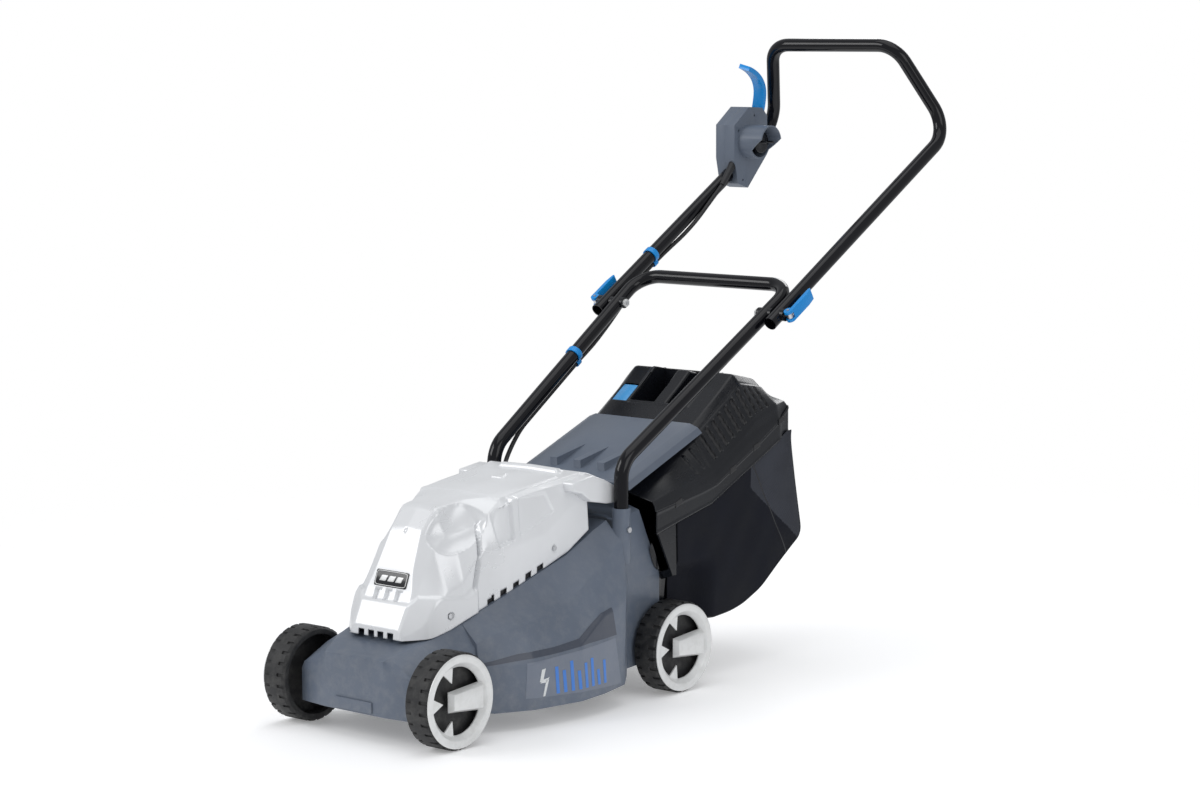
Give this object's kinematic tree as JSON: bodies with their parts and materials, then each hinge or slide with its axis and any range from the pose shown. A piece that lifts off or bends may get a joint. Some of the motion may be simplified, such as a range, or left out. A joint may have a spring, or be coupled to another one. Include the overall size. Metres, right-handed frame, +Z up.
{
  "type": "corded rotary lawn mower",
  "caption": "Corded rotary mower with four wheels, folding tubular handle, switch box with lever, rear flap and slide-off grass box.",
  "frame": {"origin": "middle of the whole outline's base, on the ground under the middle of the length and on the mid-plane", "axes": "+Z up, -Y towards the mower's front, +Y towards the grip, +X to the operator's left when walking behind and facing -Y; axle axes along X"},
  "size_m": [0.4116, 1.2466, 0.9886],
  "materials": {
    "deck_plastic": "satin",
    "cover_plastic": "pearl",
    "wheel_silver": "satin",
    "tyre_black": "matte",
    "handle_paint": "gloss",
    "black_plastic": "satin",
    "blue_plastic": "gloss",
    "pale_blue": "gloss",
    "badge": "gloss",
    "steel": "brushed",
    "cast_alloy": "satin",
    "copper": "satin",
    "cable_jacket": "satin",
    "bag_cloth": "woven"
  },
  "bodies": {
    "deck": {"deck": "deck_plastic", "motor_cover": "cover_plastic", "badge_plate": "badge", "body_screws": "steel", "height_brackets": "black_plastic", "lower_handle": "handle_paint", "joint_saddles": "black_plastic", "cable_gland": "black_plastic", "lower_cable": "cable_jacket", "lower_cable_clip": "blue_plastic", "fold_cable": "cable_jacket", "flap_pin": "steel", "flap_spring": "steel", "motor_lower_bracket": "cast_alloy", "stator_core": "steel", "stator_windings": "copper", "motor_upper_bracket": "cast_alloy", "motor_bearings": "steel", "capacitor": "cast_alloy"},
    "upper_handle": {"upper_handle": "handle_paint", "joint_bolts": "steel", "joint_nuts": "wheel_silver", "joint_washers": "black_plastic", "pivot_pins": "steel", "switch_box_outer": "deck_plastic", "switch_box_inner": "deck_plastic", "switch_box_screws": "steel", "mains_inlet": "black_plastic", "micro_switch": "black_plastic", "cable_boot": "cable_jacket", "upper_cable": "cable_jacket", "upper_cable_clip": "blue_plastic"},
    "switch_lever": {"switch_lever": "blue_plastic"},
    "lock_off_button": {"lock_off_button": "blue_plastic"},
    "cam_lever_left": {"cam_lever_left": "blue_plastic"},
    "cam_lever_right": {"cam_lever_right": "blue_plastic"},
    "front_axle": {"front_axle": "steel", "front_axle_clips": "steel"},
    "rear_axle": {"rear_axle": "steel", "rear_axle_clips": "steel"},
    "front_left_wheel": {"front_left_wheel": "tyre_black", "front_left_cap": "wheel_silver"},
    "front_right_wheel": {"front_right_wheel": "tyre_black", "front_right_cap": "wheel_silver"},
    "rear_left_wheel": {"rear_left_wheel": "tyre_black", "rear_left_cap": "wheel_silver"},
    "rear_right_wheel": {"rear_right_wheel": "tyre_black", "rear_right_cap": "wheel_silver"},
    "rotor": {"motor_shaft": "steel", "motor_armature": "steel", "cooling_fan": "black_plastic", "blade_carrier": "cast_alloy", "cutting_blade": "steel", "blade_bolt": "steel"},
    "rear_flap": {"rear_flap": "deck_plastic"},
    "grass_box": {"box_lid": "black_plastic", "box_band": "black_plastic", "box_front_frame": "black_plastic", "grass_bag": "bag_cloth"},
    "level_indicator": {"level_indicator": "pale_blue"}
  },
  "joints": [
    {"name": "handle_fold", "type": "hinge", "parent": "deck", "child": "upper_handle", "pos_m": [0, 0.16865, 0.56268], "axis": [1, 0, 0], "range_deg": [0, 150], "deforming": ["fold_cable"]},
    {"name": "switch_lever_pivot", "type": "hinge", "parent": "upper_handle", "child": "switch_lever", "pos_m": [-0.183, 0.56366, 0.829], "axis": [-1, 0, 0], "range_deg": [0, 7], "stiffness_Nm_per_rad": 0.6, "springref_deg": -8.59},
    {"name": "lock_off_press", "type": "slide", "parent": "upper_handle", "child": "lock_off_button", "axis": [1, 0, 0], "range_m": [0, 0.003], "stiffness_N_per_m": 300, "springref_m": -0.003},
    {"name": "cam_lever_left_pivot", "type": "hinge", "parent": "upper_handle", "child": "cam_lever_left", "pos_m": [0.19818, 0.16865, 0.56268], "axis": [0, 0.5096, -0.8604], "range_deg": [0, 100]},
    {"name": "cam_lever_right_pivot", "type": "hinge", "parent": "upper_handle", "child": "cam_lever_right", "pos_m": [-0.19818, 0.16865, 0.56268], "axis": [0, -0.5096, 0.8604], "range_deg": [0, 100]},
    {"name": "front_height", "type": "slide", "parent": "deck", "child": "front_axle", "axis": [0, 0, 1], "range_m": [-0.02, 0.02]},
    {"name": "rear_height", "type": "slide", "parent": "deck", "child": "rear_axle", "axis": [0, 0, 1], "range_m": [-0.02, 0.02]},
    {"name": "front_left_wheel_spin", "type": "hinge", "parent": "front_axle", "child": "front_left_wheel", "pos_m": [0.144, -0.55334, 0.07], "axis": [1, 0, 0], "continuous": true},
    {"name": "front_right_wheel_spin", "type": "hinge", "parent": "front_axle", "child": "front_right_wheel", "pos_m": [-0.144, -0.55334, 0.07], "axis": [1, 0, 0], "continuous": true},
    {"name": "rear_left_wheel_spin", "type": "hinge", "parent": "rear_axle", "child": "rear_left_wheel", "pos_m": [0.154, -0.06484, 0.07], "axis": [1, 0, 0], "continuous": true},
    {"name": "rear_right_wheel_spin", "type": "hinge", "parent": "rear_axle", "child": "rear_right_wheel", "pos_m": [-0.154, -0.06484, 0.07], "axis": [1, 0, 0], "continuous": true},
    {"name": "blade_spin", "type": "hinge", "parent": "deck", "child": "rotor", "pos_m": [0, -0.31534, 0.1], "axis": [0, 0, 1], "continuous": true},
    {"name": "flap_lift", "type": "hinge", "parent": "deck", "child": "rear_flap", "pos_m": [0, -0.12934, 0.324], "axis": [1, 0, 0], "range_deg": [0, 70], "stiffness_Nm_per_rad": 0.15, "springref_deg": -17.19, "deforming": ["flap_spring"]},
    {"name": "grass_box_pull", "type": "slide", "parent": "deck", "child": "grass_box", "axis": [0, 1, 0], "range_m": [0, 0.3]},
    {"name": "level_indicator_pivot", "type": "hinge", "parent": "grass_box", "child": "level_indicator", "pos_m": [-0.08, 0.08465, 0.41419], "axis": [1, 0, 0], "range_deg": [0, 25]}
  ]
}
